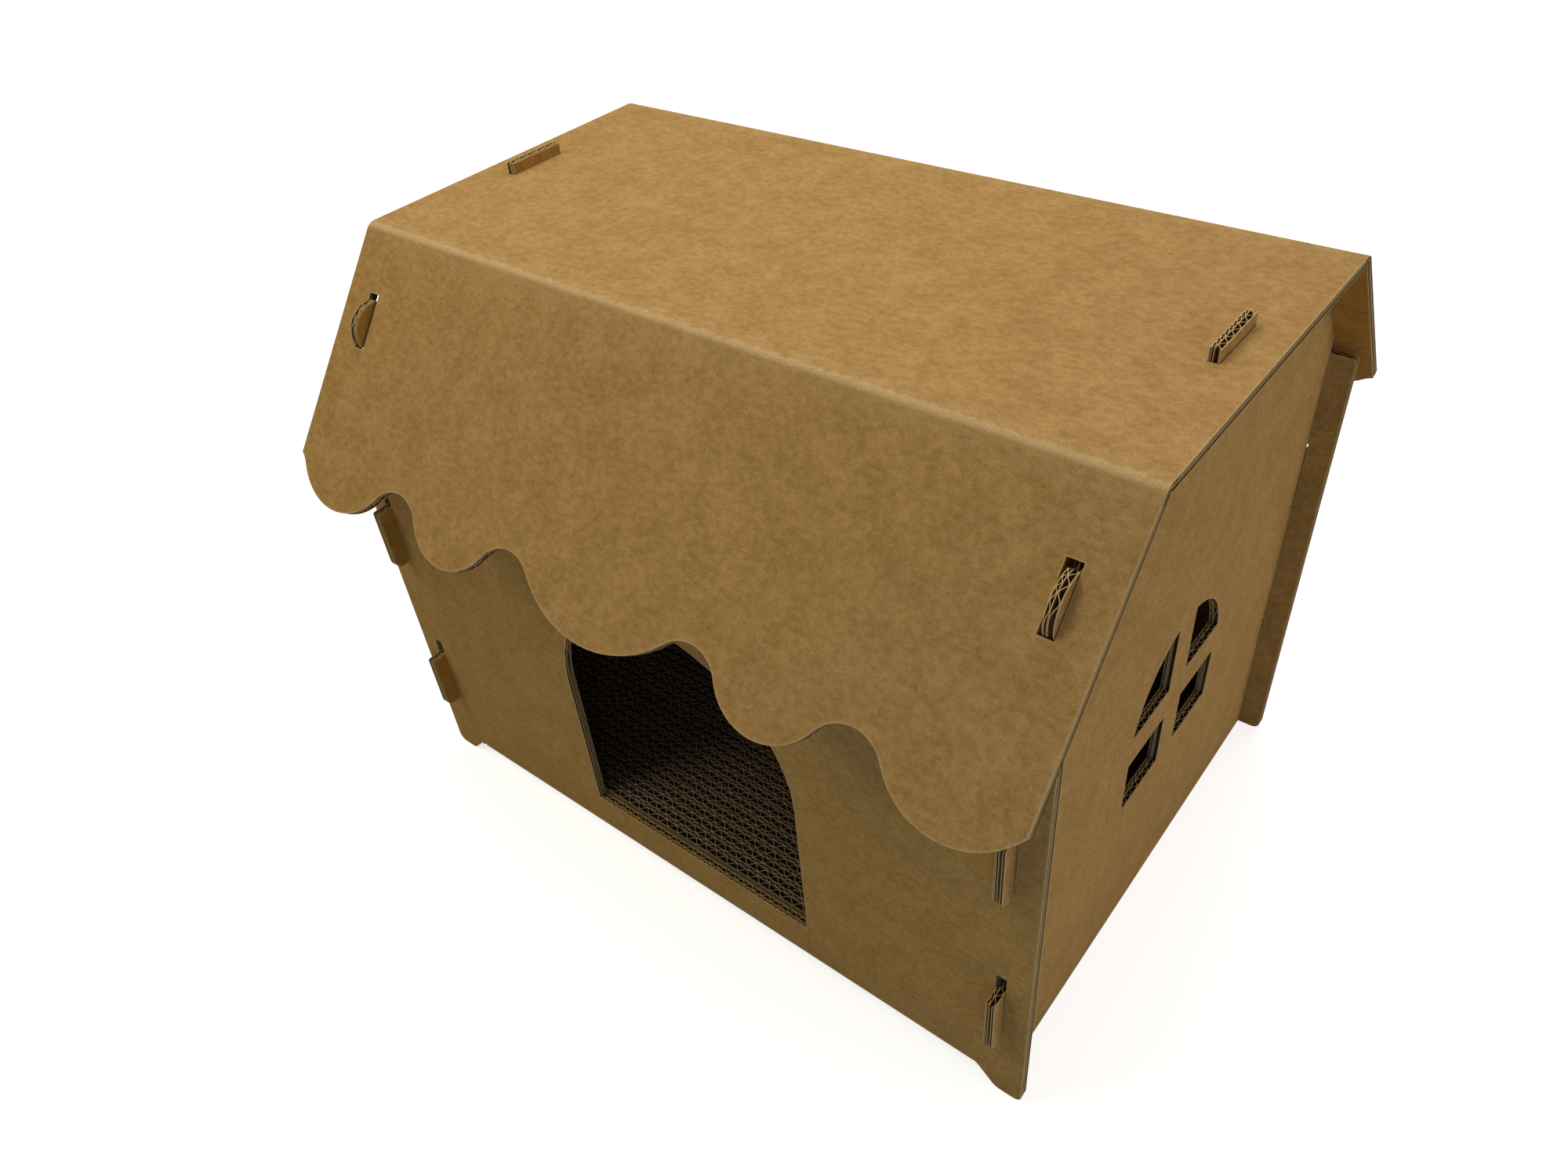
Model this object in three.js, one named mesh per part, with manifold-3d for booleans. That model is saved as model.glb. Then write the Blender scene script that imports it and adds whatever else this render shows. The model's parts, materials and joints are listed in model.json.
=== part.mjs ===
// Cardboard cat house: four slotted walls, a creased roof sheet and a loose corrugated scratching pad.
// Millimetres. X runs along the front, Y to the back and Z up. The origin is on the floor, in the middle.
import * as THREE from 'three';
import { mergeVertices } from 'three/addons/utils/BufferGeometryUtils.js';
import Module from 'manifold-3d';

// Board and fits
const boardThickness = 4.8;
const fitGap = 0.3;
const slotClearance = 0.4;
const cutOverrun = 5;
const arcSteps = 10;
const cornerSteps = 4;

// Front and back panels
const houseDepth = 314;
const panelWidth = 440;
const panelOverhang = 13.5;
const panelTopRadius = 3;
const panelTopClearance = 4.1;
const footLength = 15;
const footHeight = 12.5;
const footStep = 12;
const footStepRadius = 6;
const footRadius = 5;

// Doorway
const doorWidth = 160;
const doorOffset = 6.5;
const doorSillHeight = 37.5;
const doorSpringHeight = 139;

// Window in the side panels
const windowOffset = 7;
const windowRadius = 50;
const windowSpringHeight = 152;
const windowSillHeight = 107;
const windowBarWidth = 19;
const windowBarHeight = 150;

// Hook tabs on the upright edges of the side panels
const hookLength = 40;
const hookReach = 9.5;
const hookDrop = 10;
const hookNoseRadius = 4.5;
const hookTopRadius = 1.2;
const lowerHookHeight = 51;
const upperHookHeight = 168;
const hookSlotPlay = 1;

// Top tabs and round tabs of the side panels
const topTabLength = 36;
const topTabRise = 6;
const roundTabStart = 38;
const roundTabLength = 25.5;
const roundTabRise = 6.8;
const roundSlotUpperPlay = 3.5;
const roundSlotLowerPlay = 0.8;
const roundSlotInnerPlay = 2;

// Roof sheet
const roofOverhang = 4.5;
const roofHeight = 353;
const creaseSetback = 55.5;
const awningSlopeDegrees = 50.5;
const creaseRadius = 14;
const awningLength = 150;
const scallopDepth = 24.5;
const scallopOffset = 2.3;
const centreScallopWidth = 116;
const sideScallopWidth = 85;
const endScallopWidth = 94;
const scallopValleyRadius = 19;

// Scratching pad
const padHeight = 41;
const padSideClearance = 1.7;
const padEndClearance = 0.7;
const padStripCount = 49;

// Places that follow from the sizes
const slope = THREE.MathUtils.degToRad(awningSlopeDegrees);
const frontFace = -houseDepth / 2;
const wallInside = houseDepth / 2 - boardThickness;
const sideOutside = panelWidth / 2 - panelOverhang;
const sideInside = sideOutside - boardThickness;
const creaseY = houseDepth / 2 - creaseSetback;
const roofWidth = panelWidth + 2 * roofOverhang;
const awningDrop = creaseSetback * Math.tan(slope) + boardThickness / Math.cos(slope);
const panelHeight = roofHeight - awningDrop - panelTopClearance;

// Colours of the kraft board, outside and in the pad
const kraft = new THREE.MeshStandardMaterial({ color: 0xb08a56, roughness: 0.85, metalness: 0 });
const kraftSide = new THREE.MeshStandardMaterial({ color: 0x9c7c4e, roughness: 0.85, metalness: 0 });
const kraftRoof = new THREE.MeshStandardMaterial({ color: 0xb48c55, roughness: 0.82, metalness: 0 });
const kraftPad = new THREE.MeshStandardMaterial({ color: 0x8d7350, roughness: 0.95, metalness: 0 });

const wasm = await Module();
wasm.setup();

// Closed geometry to a solid, and back
function solidOf(geometry) {
  const bare = geometry.clone();
  bare.deleteAttribute('normal');
  bare.deleteAttribute('uv');
  const merged = mergeVertices(bare);
  return new wasm.Manifold(new wasm.Mesh({
    numProp: 3,
    vertProperties: new Float32Array(merged.attributes.position.array),
    triVerts: new Uint32Array(merged.index.array),
  }));
}

function geometryOf(solid) {
  const mesh = solid.getMesh();
  const geometry = new THREE.BufferGeometry();
  geometry.setAttribute('position', new THREE.BufferAttribute(new Float32Array(mesh.vertProperties), 3));
  geometry.setIndex(new THREE.BufferAttribute(new Uint32Array(mesh.triVerts), 1));
  geometry.computeVertexNormals();
  return geometry;
}

// A flat outline pushed through the board, with the outline's plane as the board's lower face
function pushed(shape, depth) {
  return new THREE.ExtrudeGeometry(shape, { depth, bevelEnabled: false, curveSegments: arcSteps });
}

// The same, with cutouts right through the board
function cutBoard(shape, cutouts) {
  let solid = solidOf(pushed(shape, boardThickness));
  for (const cutout of cutouts) {
    const cutter = pushed(cutout, boardThickness + 2 * cutOverrun);
    cutter.translate(0, 0, -cutOverrun);
    solid = solid.subtract(solidOf(cutter));
  }
  return geometryOf(solid);
}

// Straight-sided outline through its corners, rounded where a corner has a radius
function outlineThrough(corners) {
  const count = corners.length;
  const points = corners.flatMap(({ x, y, radius = 0 }, i) => {
    const corner = new THREE.Vector2(x, y);
    if (radius === 0) {
      return [corner];
    }
    const before = corners[(i + count - 1) % count];
    const after = corners[(i + 1) % count];
    const back = new THREE.Vector2(before.x - x, before.y - y).normalize();
    const ahead = new THREE.Vector2(after.x - x, after.y - y).normalize();
    const half = Math.acos(back.dot(ahead)) / 2;
    const turn = Math.sign(back.cross(ahead)) * (Math.PI / 2 - half);
    const towards = back.clone().add(ahead).normalize();
    const centre = corner.clone().addScaledVector(towards, radius / Math.sin(half));
    const arc = [];
    for (let step = 0; step <= cornerSteps; step += 1) {
      const angle = turn * ((2 * step) / cornerSteps - 1);
      const spoke = towards.clone().multiplyScalar(-radius);
      arc.push(spoke.rotateAround(new THREE.Vector2(), -angle).add(centre));
    }
    return arc;
  });
  return new THREE.Shape(points);
}

function rectangle(left, bottom, right, top) {
  return outlineThrough([
    { x: left, y: bottom },
    { x: right, y: bottom },
    { x: right, y: top },
    { x: left, y: top },
  ]);
}

function named(name, geometry, material) {
  const mesh = new THREE.Mesh(geometry, material);
  mesh.name = name;
  return mesh;
}

// Front and back panels: X across and Z up in the outline
function footedOutline() {
  const half = panelWidth / 2;
  const stepOuter = half - footLength;
  const stepInner = stepOuter - footStep;
  const rightHalf = [
    { x: stepInner, y: footHeight, radius: footStepRadius },
    { x: stepOuter, y: 0, radius: footStepRadius },
    { x: half, y: 0, radius: footRadius },
    { x: half, y: panelHeight, radius: panelTopRadius },
  ];
  const leftHalf = rightHalf.map(({ x, y, radius }) => ({ x: -x, y, radius })).reverse();
  return outlineThrough([...rightHalf, ...leftHalf]);
}

function hookSlots() {
  const inner = sideInside - slotClearance;
  const outer = sideOutside + slotClearance;
  const slots = [];
  for (const hookHeight of [lowerHookHeight, upperHookHeight]) {
    const bottom = hookHeight + hookDrop - fitGap;
    const top = bottom + hookLength + hookSlotPlay;
    slots.push(rectangle(inner, bottom, outer, top));
    slots.push(rectangle(-outer, bottom, -inner, top));
  }
  return slots;
}

function doorway() {
  const half = doorWidth / 2;
  const shape = new THREE.Shape();
  shape.moveTo(doorOffset - half, doorSillHeight);
  shape.lineTo(doorOffset + half, doorSillHeight);
  shape.lineTo(doorOffset + half, doorSpringHeight);
  shape.absarc(doorOffset, doorSpringHeight, half, 0, Math.PI, false);
  shape.closePath();
  return shape;
}

function endPanel(name, rearFaceY, cutouts) {
  const mesh = named(name, cutBoard(footedOutline(), [...hookSlots(), ...cutouts]), kraft);
  mesh.rotation.x = Math.PI / 2;
  mesh.position.y = rearFaceY;
  return mesh;
}

// Side panels: Y across and Z up in the outline, which has them as x and y.
// A place on the back slope: distance down from the crease line, height above the roof's outer face.
function onSlope(distance, height) {
  return {
    x: creaseY + distance * Math.cos(slope) + height * Math.sin(slope),
    y: roofHeight - distance * Math.sin(slope) + height * Math.cos(slope),
  };
}

// One hook on the back edge, from its neck to its top
function hookCorners(hookHeight, edge) {
  const face = houseDepth / 2 + slotClearance;
  const tip = houseDepth / 2 + hookReach;
  const neck = hookHeight + hookDrop;
  const top = hookHeight + hookLength;
  return [
    { x: edge, y: neck },
    { x: face, y: neck },
    { x: face, y: hookHeight },
    { x: tip, y: hookHeight, radius: hookNoseRadius },
    { x: tip, y: top, radius: hookTopRadius },
    { x: edge, y: top },
  ];
}

function roundTabCorners() {
  const root = -boardThickness - fitGap;
  const half = roundTabLength / 2;
  const radius = (half * half + roundTabRise * roundTabRise) / (2 * roundTabRise);
  const spread = Math.asin(half / radius);
  const middle = roundTabStart + half;
  const corners = [onSlope(roundTabStart + roundTabLength, root)];
  for (let i = 0; i <= arcSteps; i += 1) {
    const angle = spread * (1 - (2 * i) / arcSteps);
    const rise = roundTabRise - radius + radius * Math.cos(angle);
    corners.push(onSlope(middle + radius * Math.sin(angle), rise));
  }
  corners.push(onSlope(roundTabStart, root));
  return corners;
}

// The back half of a side panel, from the floor up to the middle of the top tab
function sidePanelHalf() {
  const edge = wallInside - fitGap;
  const root = -boardThickness - fitGap;
  const ridge = roofHeight + root;
  const shoulder = creaseY + root * Math.tan(slope / 2);
  const eave = (edge - creaseY - root * Math.sin(slope)) / Math.cos(slope);
  return [
    { x: edge, y: 0 },
    ...hookCorners(lowerHookHeight, edge),
    ...hookCorners(upperHookHeight, edge),
    onSlope(eave, root),
    ...roundTabCorners(),
    { x: shoulder, y: ridge },
    { x: topTabLength / 2, y: ridge },
    { x: topTabLength / 2, y: roofHeight + topTabRise },
  ];
}

// One upper pane, bounded by the two bars and the arch
function upperPane(side) {
  const bar = windowBarWidth / 2;
  const paneSill = windowBarHeight + bar;
  const rise = paneSill - windowSpringHeight;
  const start = Math.asin(rise / windowRadius);
  const end = Math.acos(bar / windowRadius);
  const shape = new THREE.Shape();
  shape.moveTo(windowOffset + side * bar, windowSpringHeight + windowRadius * Math.sin(end));
  shape.lineTo(windowOffset + side * bar, paneSill);
  if (side > 0) {
    shape.absarc(windowOffset, windowSpringHeight, windowRadius, start, end, false);
  } else {
    shape.absarc(windowOffset, windowSpringHeight, windowRadius, Math.PI - start, Math.PI - end, true);
  }
  shape.closePath();
  return shape;
}

function lowerPane(side) {
  const bar = windowBarWidth / 2;
  const inner = Math.min(side * bar, side * windowRadius);
  const outer = Math.max(side * bar, side * windowRadius);
  return rectangle(windowOffset + inner, windowSillHeight, windowOffset + outer, windowBarHeight - bar);
}

function sidePanel(name, leftFaceX) {
  const backHalf = sidePanelHalf();
  const frontHalf = backHalf.map(({ x, y, radius }) => ({ x: -x, y, radius })).reverse();
  const outline = outlineThrough([...backHalf, ...frontHalf]);
  const panes = [-1, 1].flatMap((side) => [upperPane(side), lowerPane(side)]);
  const mesh = named(name, cutBoard(outline, panes), kraftSide);
  mesh.rotation.set(Math.PI / 2, 0, Math.PI / 2, 'ZYX');
  mesh.position.x = leftFaceX;
  return mesh;
}

// Roof sheet. A leaf ends at a crease in a mitre under a rounded outer edge.
// The points run from the underside up: u is the distance from the crease line along the leaf.
function creaseEnd() {
  const half = slope / 2;
  const clear = fitGap / 2 / Math.cos(half);
  const tangent = creaseRadius * Math.tan(half) + clear;
  const points = [{ u: boardThickness * Math.tan(half) + clear, v: -boardThickness }];
  for (let i = 0; i <= arcSteps / 2; i += 1) {
    const angle = half * (1 - (2 * i) / arcSteps);
    points.push({ u: tangent - creaseRadius * Math.sin(angle), v: creaseRadius * (Math.cos(angle) - 1) });
  }
  return points;
}

// A leaf's section in Y and Z, run across the roof along X
function acrossRoof(points) {
  const geometry = pushed(new THREE.Shape(points), roofWidth);
  geometry.rotateX(Math.PI / 2);
  geometry.rotateZ(Math.PI / 2);
  geometry.translate(-roofWidth / 2, 0, 0);
  return solidOf(geometry);
}

function slotCutter(side, nearY, farY, innerPlay) {
  const inner = sideInside - innerPlay;
  const outer = sideOutside + slotClearance;
  const box = new THREE.BoxGeometry(outer - inner, farY - nearY, boardThickness + 2 * cutOverrun);
  box.translate(side * (inner + outer) / 2, (nearY + farY) / 2, -boardThickness / 2);
  return solidOf(box);
}

function roofTop() {
  const rear = creaseEnd().map(({ u, v }) => new THREE.Vector2(creaseY - u, v));
  const front = creaseEnd().reverse().map(({ u, v }) => new THREE.Vector2(u - creaseY, v));
  let solid = acrossRoof([...rear, ...front]);
  const halfSlot = topTabLength / 2 + slotClearance;
  for (const side of [-1, 1]) {
    solid = solid.subtract(slotCutter(side, -halfSlot, halfSlot, slotClearance));
  }
  const mesh = named('roof_top', geometryOf(solid), kraftRoof);
  mesh.position.z = roofHeight;
  return mesh;
}

// Scalloped outline of an awning lying flat in front of its crease, which is the line Y = 0.
// Valleys reach back towards the crease, and the lobe between two valleys bulges away from it.
function scallopedOutline() {
  const valleyY = scallopDepth - awningLength - scallopValleyRadius;
  const edge = roofWidth / 2 + Math.abs(scallopOffset);
  const valleys = [];
  let step = centreScallopWidth / 2;
  for (let x = step; x < edge + step; x += step) {
    valleys.unshift(scallopOffset - x);
    valleys.push(scallopOffset + x);
    step = valleys.length > 2 ? endScallopWidth : sideScallopWidth;
  }
  const lobes = valleys.slice(1).map((right, i) => {
    const half = (right - valleys[i]) / 2;
    const reach = (half * half + scallopDepth * scallopDepth) / (2 * scallopDepth);
    const radius = reach - scallopValleyRadius;
    return { x: right - half, y: radius - awningLength, radius, turn: Math.acos(half / reach) };
  });
  const shape = new THREE.Shape();
  shape.moveTo(valleys[valleys.length - 1], 0);
  shape.lineTo(valleys[0], 0);
  valleys.forEach((x, i) => {
    const arrive = i === 0 ? Math.PI / 2 : Math.PI - lobes[i - 1].turn;
    const leave = i === lobes.length ? Math.PI / 2 : lobes[i].turn;
    shape.absarc(x, valleyY, scallopValleyRadius, arrive, leave, true);
    if (i < lobes.length) {
      const lobe = lobes[i];
      shape.absarc(lobe.x, lobe.y, lobe.radius, lobe.turn - Math.PI, -lobe.turn, false);
    }
  });
  return shape;
}

function awningGeometry() {
  const sheet = pushed(scallopedOutline(), boardThickness + 2 * cutOverrun);
  sheet.translate(0, 0, -boardThickness - cutOverrun);
  const section = creaseEnd().map(({ u, v }) => new THREE.Vector2(-u, v));
  section.push(new THREE.Vector2(-awningLength - cutOverrun, 0));
  section.push(new THREE.Vector2(-awningLength - cutOverrun, -boardThickness));
  let solid = solidOf(sheet).intersect(acrossRoof(section));
  const slotStart = roundTabStart - roundSlotUpperPlay;
  const slotEnd = roundTabStart + roundTabLength + roundSlotLowerPlay;
  for (const side of [-1, 1]) {
    solid = solid.subtract(slotCutter(side, -slotEnd, -slotStart, roundSlotInnerPlay));
  }
  return geometryOf(solid);
}

// An awning hangs from its crease, turned down by the slope
function awning(name, turn) {
  const crease = new THREE.Group();
  crease.rotation.z = turn;
  const leaf = new THREE.Group();
  leaf.position.set(0, -creaseY, roofHeight);
  leaf.rotation.x = slope;
  leaf.add(named(name, awningGeometry(), kraftRoof));
  crease.add(leaf);
  return crease;
}

// Scratching pad: strips on edge, run along X and laid side by side from front to back
function scratchingPad() {
  const pad = new THREE.Group();
  const halfWidth = sideInside - padSideClearance;
  const halfDepth = wallInside - padEndClearance;
  const pitch = (2 * halfDepth) / padStripCount;
  for (let i = 0; i < padStripCount; i += 1) {
    const number = String(i + 1).padStart(2, '0');
    const board = new THREE.BoxGeometry(2 * halfWidth, pitch, padHeight);
    const strip = named(`pad_strip_${number}`, board, kraftPad);
    strip.position.set(0, -halfDepth + pitch * (i + 0.5), padHeight / 2);
    pad.add(strip);
  }
  return pad;
}

const catHouse = new THREE.Group();
catHouse.add(endPanel('front_panel', frontFace + boardThickness, [doorway()]));
catHouse.add(endPanel('back_panel', houseDepth / 2, []));
catHouse.add(sidePanel('left_side_panel', -sideOutside));
catHouse.add(sidePanel('right_side_panel', sideInside));
catHouse.add(roofTop());
catHouse.add(awning('front_awning', 0));
catHouse.add(awning('rear_awning', Math.PI));
catHouse.add(scratchingPad());

export default catHouse;
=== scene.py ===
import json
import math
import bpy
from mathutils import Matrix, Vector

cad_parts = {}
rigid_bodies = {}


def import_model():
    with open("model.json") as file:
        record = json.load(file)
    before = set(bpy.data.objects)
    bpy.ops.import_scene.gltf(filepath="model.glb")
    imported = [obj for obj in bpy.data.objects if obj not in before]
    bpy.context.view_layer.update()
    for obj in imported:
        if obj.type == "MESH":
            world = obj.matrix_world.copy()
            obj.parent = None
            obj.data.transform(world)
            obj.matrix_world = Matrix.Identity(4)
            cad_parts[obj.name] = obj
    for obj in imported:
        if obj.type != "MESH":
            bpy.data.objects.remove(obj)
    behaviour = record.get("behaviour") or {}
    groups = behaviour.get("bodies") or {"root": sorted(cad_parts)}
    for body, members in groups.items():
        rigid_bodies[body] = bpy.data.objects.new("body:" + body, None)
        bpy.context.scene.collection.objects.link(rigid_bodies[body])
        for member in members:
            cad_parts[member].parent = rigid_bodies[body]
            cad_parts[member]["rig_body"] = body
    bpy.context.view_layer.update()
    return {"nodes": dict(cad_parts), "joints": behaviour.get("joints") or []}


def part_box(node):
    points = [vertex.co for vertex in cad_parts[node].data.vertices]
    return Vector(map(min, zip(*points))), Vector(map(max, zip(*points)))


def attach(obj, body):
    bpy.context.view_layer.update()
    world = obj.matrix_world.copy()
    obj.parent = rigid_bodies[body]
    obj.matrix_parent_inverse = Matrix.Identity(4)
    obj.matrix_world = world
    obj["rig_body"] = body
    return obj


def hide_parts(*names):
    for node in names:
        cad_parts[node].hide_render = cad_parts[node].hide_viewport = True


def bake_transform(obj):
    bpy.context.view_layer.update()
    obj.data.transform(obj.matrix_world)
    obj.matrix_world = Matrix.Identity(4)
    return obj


bl_info = {
    "name": "Cardboard Cat House",
    "version": (1, 0, 0),
    "blender": (4, 5, 0),
    "location": "View3D > Sidebar > Cat House",
    "description": "Builds the house's corrugated walls, creased roof and scratching pad, paper by paper",
    "category": "Object",
}

import bpy
from bpy.props import FloatProperty, FloatVectorProperty, IntProperty, PointerProperty
from mathutils import Matrix, Vector, noise

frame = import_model()

# Directions of the house: X runs along the front, Y to the back and Z up
RIGHT = Vector((1, 0, 0))
BACK = Vector((0, 1, 0))
UP = Vector((0, 0, 1))

# Sizes that the frame gives
FRONT_LOW, FRONT_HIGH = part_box("front_panel")
ROOF_LOW, ROOF_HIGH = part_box("roof_top")
BOARD_THICKNESS = FRONT_HIGH.y - FRONT_LOW.y
ROOF_WIDTH = ROOF_HIGH.x - ROOF_LOW.x
CREASES = {joint["name"]: joint for joint in frame["joints"] if joint["type"] == "hinge"}
AWNING_SLOPE = math.radians(CREASES["front_awning_crease"]["range_deg"][1])
CREASE_HEIGHT = CREASES["front_awning_crease"]["pos_m"][2]
CREASE_DISTANCE = abs(CREASES["front_awning_crease"]["pos_m"][1])
PAD_NODES = sorted(name for name in frame["nodes"] if name.startswith("pad_strip_"))

# How near counts as touching and as level, and how straight as in line
MERGE_DISTANCE = 0.00001
SAME_LEVEL = 0.0001
SAME_DIRECTION = 0.9999
FLAT_ANGLE = math.radians(0.5)
SHARP_ANGLE = math.radians(35)

# Share of a cut's margin within which points of its outline are merged
RIM_MERGE_SHARE = 1 / 3

# How far a fluted paper overruns the outline that cuts it, and how far it stays off its liners
FLUTE_OVERRUN = 0.007
FLUTE_GAP = 0.00001

# Share of a flute's pitch that an uneven flute shifts by, and of its height that it loses
UNEVEN_SHIFT = 0.1
UNEVEN_LOSS = 0.06

# Steps through the noise from one flute to the next, and off its grid, where it is always 0
FLUTE_NOISE_STEP = 0.73
PITCH_NOISE_STEP = 1000
OFF_GRID = 0.5

# How a paper's red, green and blue change with its tone
TONE_SHARES = (1.0, 1.06, 1.6)

# Shares of a liner's tone that its clouds, flecks and fibres take, and each one's noise
CLOUD_SHARE, FLECK_SHARE, FIBRE_SHARE = 0.2, 0.4, 0.4
CLOUD_NOISE = {"detail": 3.0, "roughness": 0.55}
FLECK_NOISE = {"detail": 4.0, "roughness": 0.65}
FIBRE_NOISE = {"detail": 2.0, "roughness": 0.7}

# Fibres of a cut edge or a fluted paper: their noise, their number to a metre and how far the tone strays
CUT_NOISE = {"detail": 3.0, "roughness": 0.7}
BOARD_CUT = (900, 0.18)
FLUTED_PAPER = (700, 0.22)
PAD_CUT = (500, 0.35)

# The part of a noise that is neither its lows nor its highs
NOISE_MIDDLE = (0.3, 0.7)
FIBRE_MIDDLE = (0.25, 0.75)
NOISE_MEAN = 0.5

# The part of the fibres' noise over which stretched paper and the painted highlight along a cut turn from
# faint to full, and how faint
STRETCH_MIDDLE = (0.3, 0.65)
RIM_HIGHLIGHT_MIDDLE = (0.3, 0.6)
FAINT = 0.5

# A crease's pale core starts to fade, and its fringe ends, at these shares of its half width
CORE_SHARE = 0.3
FRINGE_SHARE = 4
FRINGE_PALENESS = 0.2

# Gloss and relief of paper
PAPER_SPECULAR = 0.05
LINER_ROUGHNESS = (0.78, 0.92)
CUT_ROUGHNESS = 0.9
CUT_RELIEF = 0.4
WASHBOARD_DEPTH = 0.0001
GRAIN_DEPTH = 0.0002

# Width of the camera's frame in millimetres
SENSOR_WIDTH = 36

# The floor, and the distances between which its glow rises to white
FLOOR_SIZE = 12
FLOOR_COLOUR = (0.8, 0.8, 0.8, 1)
GLOW_REACH = (0.35, 1.1)

# Each lamp's place and the side of its square
OVERHEAD_LAMP = ((-0.1, -0.05, 1.15), 0.9)
REAR_LAMP = ((0.0, 0.8, 1.4), 1.0)
RIGHT_LAMP = ((2.0, 0.3, 0.7), 1.2)
FRONT_LAMP = ((-0.6, -0.7, 1.2), 0.7)
FILL_LAMP = ((0.75, -0.85, 0.25), 0.4)
WHITE = (1, 1, 1)


def clear_selection():
    if bpy.context.object and bpy.context.object.mode != "OBJECT":
        bpy.ops.object.mode_set(mode="OBJECT")
    bpy.ops.object.select_all(action="DESELECT")


def choose(*objects):
    """Selects these objects and makes the first of them active."""
    clear_selection()
    for item in objects:
        item.select_set(True)
    bpy.context.view_layer.objects.active = objects[0]


def link(name, mesh):
    item = bpy.data.objects.new(name, mesh)
    bpy.context.scene.collection.objects.link(item)
    return item


def twin(source, name):
    """A copy with its own mesh."""
    return link(name, source.data.copy())


def join(name, parts):
    choose(*parts)
    bpy.ops.object.join()
    parts[0].name = name
    parts[0].data.name = name
    return parts[0]


def apply_modifier(item, kind, **settings):
    choose(item)
    modifier = item.modifiers.new(kind.title(), kind)
    for key, value in settings.items():
        setattr(modifier, key, value)
    bpy.ops.object.modifier_apply(modifier=modifier.name)


def thicken(item, thickness, offset, rim=0):
    apply_modifier(
        item, "SOLIDIFY", thickness=thickness, offset=offset, use_even_offset=True, material_offset_rim=rim
    )


def smooth(item):
    choose(item)
    bpy.ops.object.shade_smooth_by_angle(angle=SHARP_ANGLE)


def dress(item, *materials):
    for material in materials:
        item.data.materials.append(material)


class Nodes:
    """Short names for the nodes of one material, whose patterns are read in Object coordinates."""

    def __init__(self, name):
        self.material = bpy.data.materials.get(name) or bpy.data.materials.new(name)
        self.material.use_nodes = True
        self.tree = self.material.node_tree
        self.tree.nodes.clear()
        self.shader = self.add("ShaderNodeBsdfPrincipled")
        self.shader.inputs["Specular IOR Level"].default_value = PAPER_SPECULAR
        output = self.add("ShaderNodeOutputMaterial")
        self.wire(self.shader.outputs["BSDF"], output.inputs["Surface"])
        self.place = self.add("ShaderNodeTexCoord").outputs["Object"]

    def add(self, kind, **settings):
        node = self.tree.nodes.new(kind)
        for key, value in settings.items():
            setattr(node, key, value)
        return node

    def wire(self, source, target):
        if hasattr(source, "node"):
            self.tree.links.new(source, target)
        else:
            target.default_value = source

    def maths(self, operation, *values):
        node = self.add("ShaderNodeMath", operation=operation)
        for socket, value in zip(node.inputs, values):
            self.wire(value, socket)
        return node.outputs[0]

    def axes(self):
        node = self.add("ShaderNodeSeparateXYZ")
        self.wire(self.place, node.inputs[0])
        return node.outputs

    def stretched(self, scale):
        node = self.add("ShaderNodeMapping")
        self.wire(self.place, node.inputs["Vector"])
        node.inputs["Scale"].default_value = scale
        return node.outputs["Vector"]

    def noise(self, scale, detail, roughness, place=None):
        node = self.add("ShaderNodeTexNoise")
        self.wire(place or self.place, node.inputs["Vector"])
        node.inputs["Scale"].default_value = scale
        node.inputs["Detail"].default_value = detail
        node.inputs["Roughness"].default_value = roughness
        return node.outputs["Fac"]

    def ramp(self, value, span, start=0.0, end=1.0):
        """A value that rises over the span becomes start to end, and no further."""
        node = self.add("ShaderNodeMapRange", interpolation_type="SMOOTHSTEP")
        for key, number in (("From Min", span[0]), ("From Max", span[1]), ("To Min", start), ("To Max", end)):
            node.inputs[key].default_value = number
        self.wire(value, node.inputs["Value"])
        return node.outputs["Result"]

    def mix(self, share, first, second):
        node = self.add("ShaderNodeMix", data_type="RGBA")
        self.wire(share, node.inputs["Factor"])
        self.wire(first, node.inputs["A"])
        self.wire(second, node.inputs["B"])
        return node.outputs["Result"]

    def bump(self, height, strength, distance, normal=None):
        node = self.add("ShaderNodeBump")
        node.inputs["Strength"].default_value = strength
        node.inputs["Distance"].default_value = distance
        self.wire(height, node.inputs["Height"])
        if normal:
            self.wire(normal, node.inputs["Normal"])
        return node.outputs["Normal"]

    def attribute(self, name):
        return self.add("ShaderNodeAttribute", attribute_name=name).outputs["Fac"]

    def set(self, **inputs):
        for key, value in inputs.items():
            self.wire(value, self.shader.inputs[key.replace("_", " ").title()])


def shown_directly(tree):
    """1 for the rays that see a backdrop: the camera's, mirrored ones and those through glass."""
    path = tree.nodes.new("ShaderNodeLightPath")
    shown = path.outputs["Is Camera Ray"]
    for name in ("Is Glossy Ray", "Is Transmission Ray"):
        either = tree.nodes.new("ShaderNodeMath")
        either.operation = "MAXIMUM"
        tree.links.new(shown, either.inputs[0])
        tree.links.new(path.outputs[name], either.inputs[1])
        shown = either.outputs[0]
    return shown


def toned(colour, step):
    """A paper's colour made paler or darker, which changes its blue most and its red least."""
    return (*(part * (1 + step * share) for part, share in zip(colour, TONE_SHARES)), 1.0)


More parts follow.
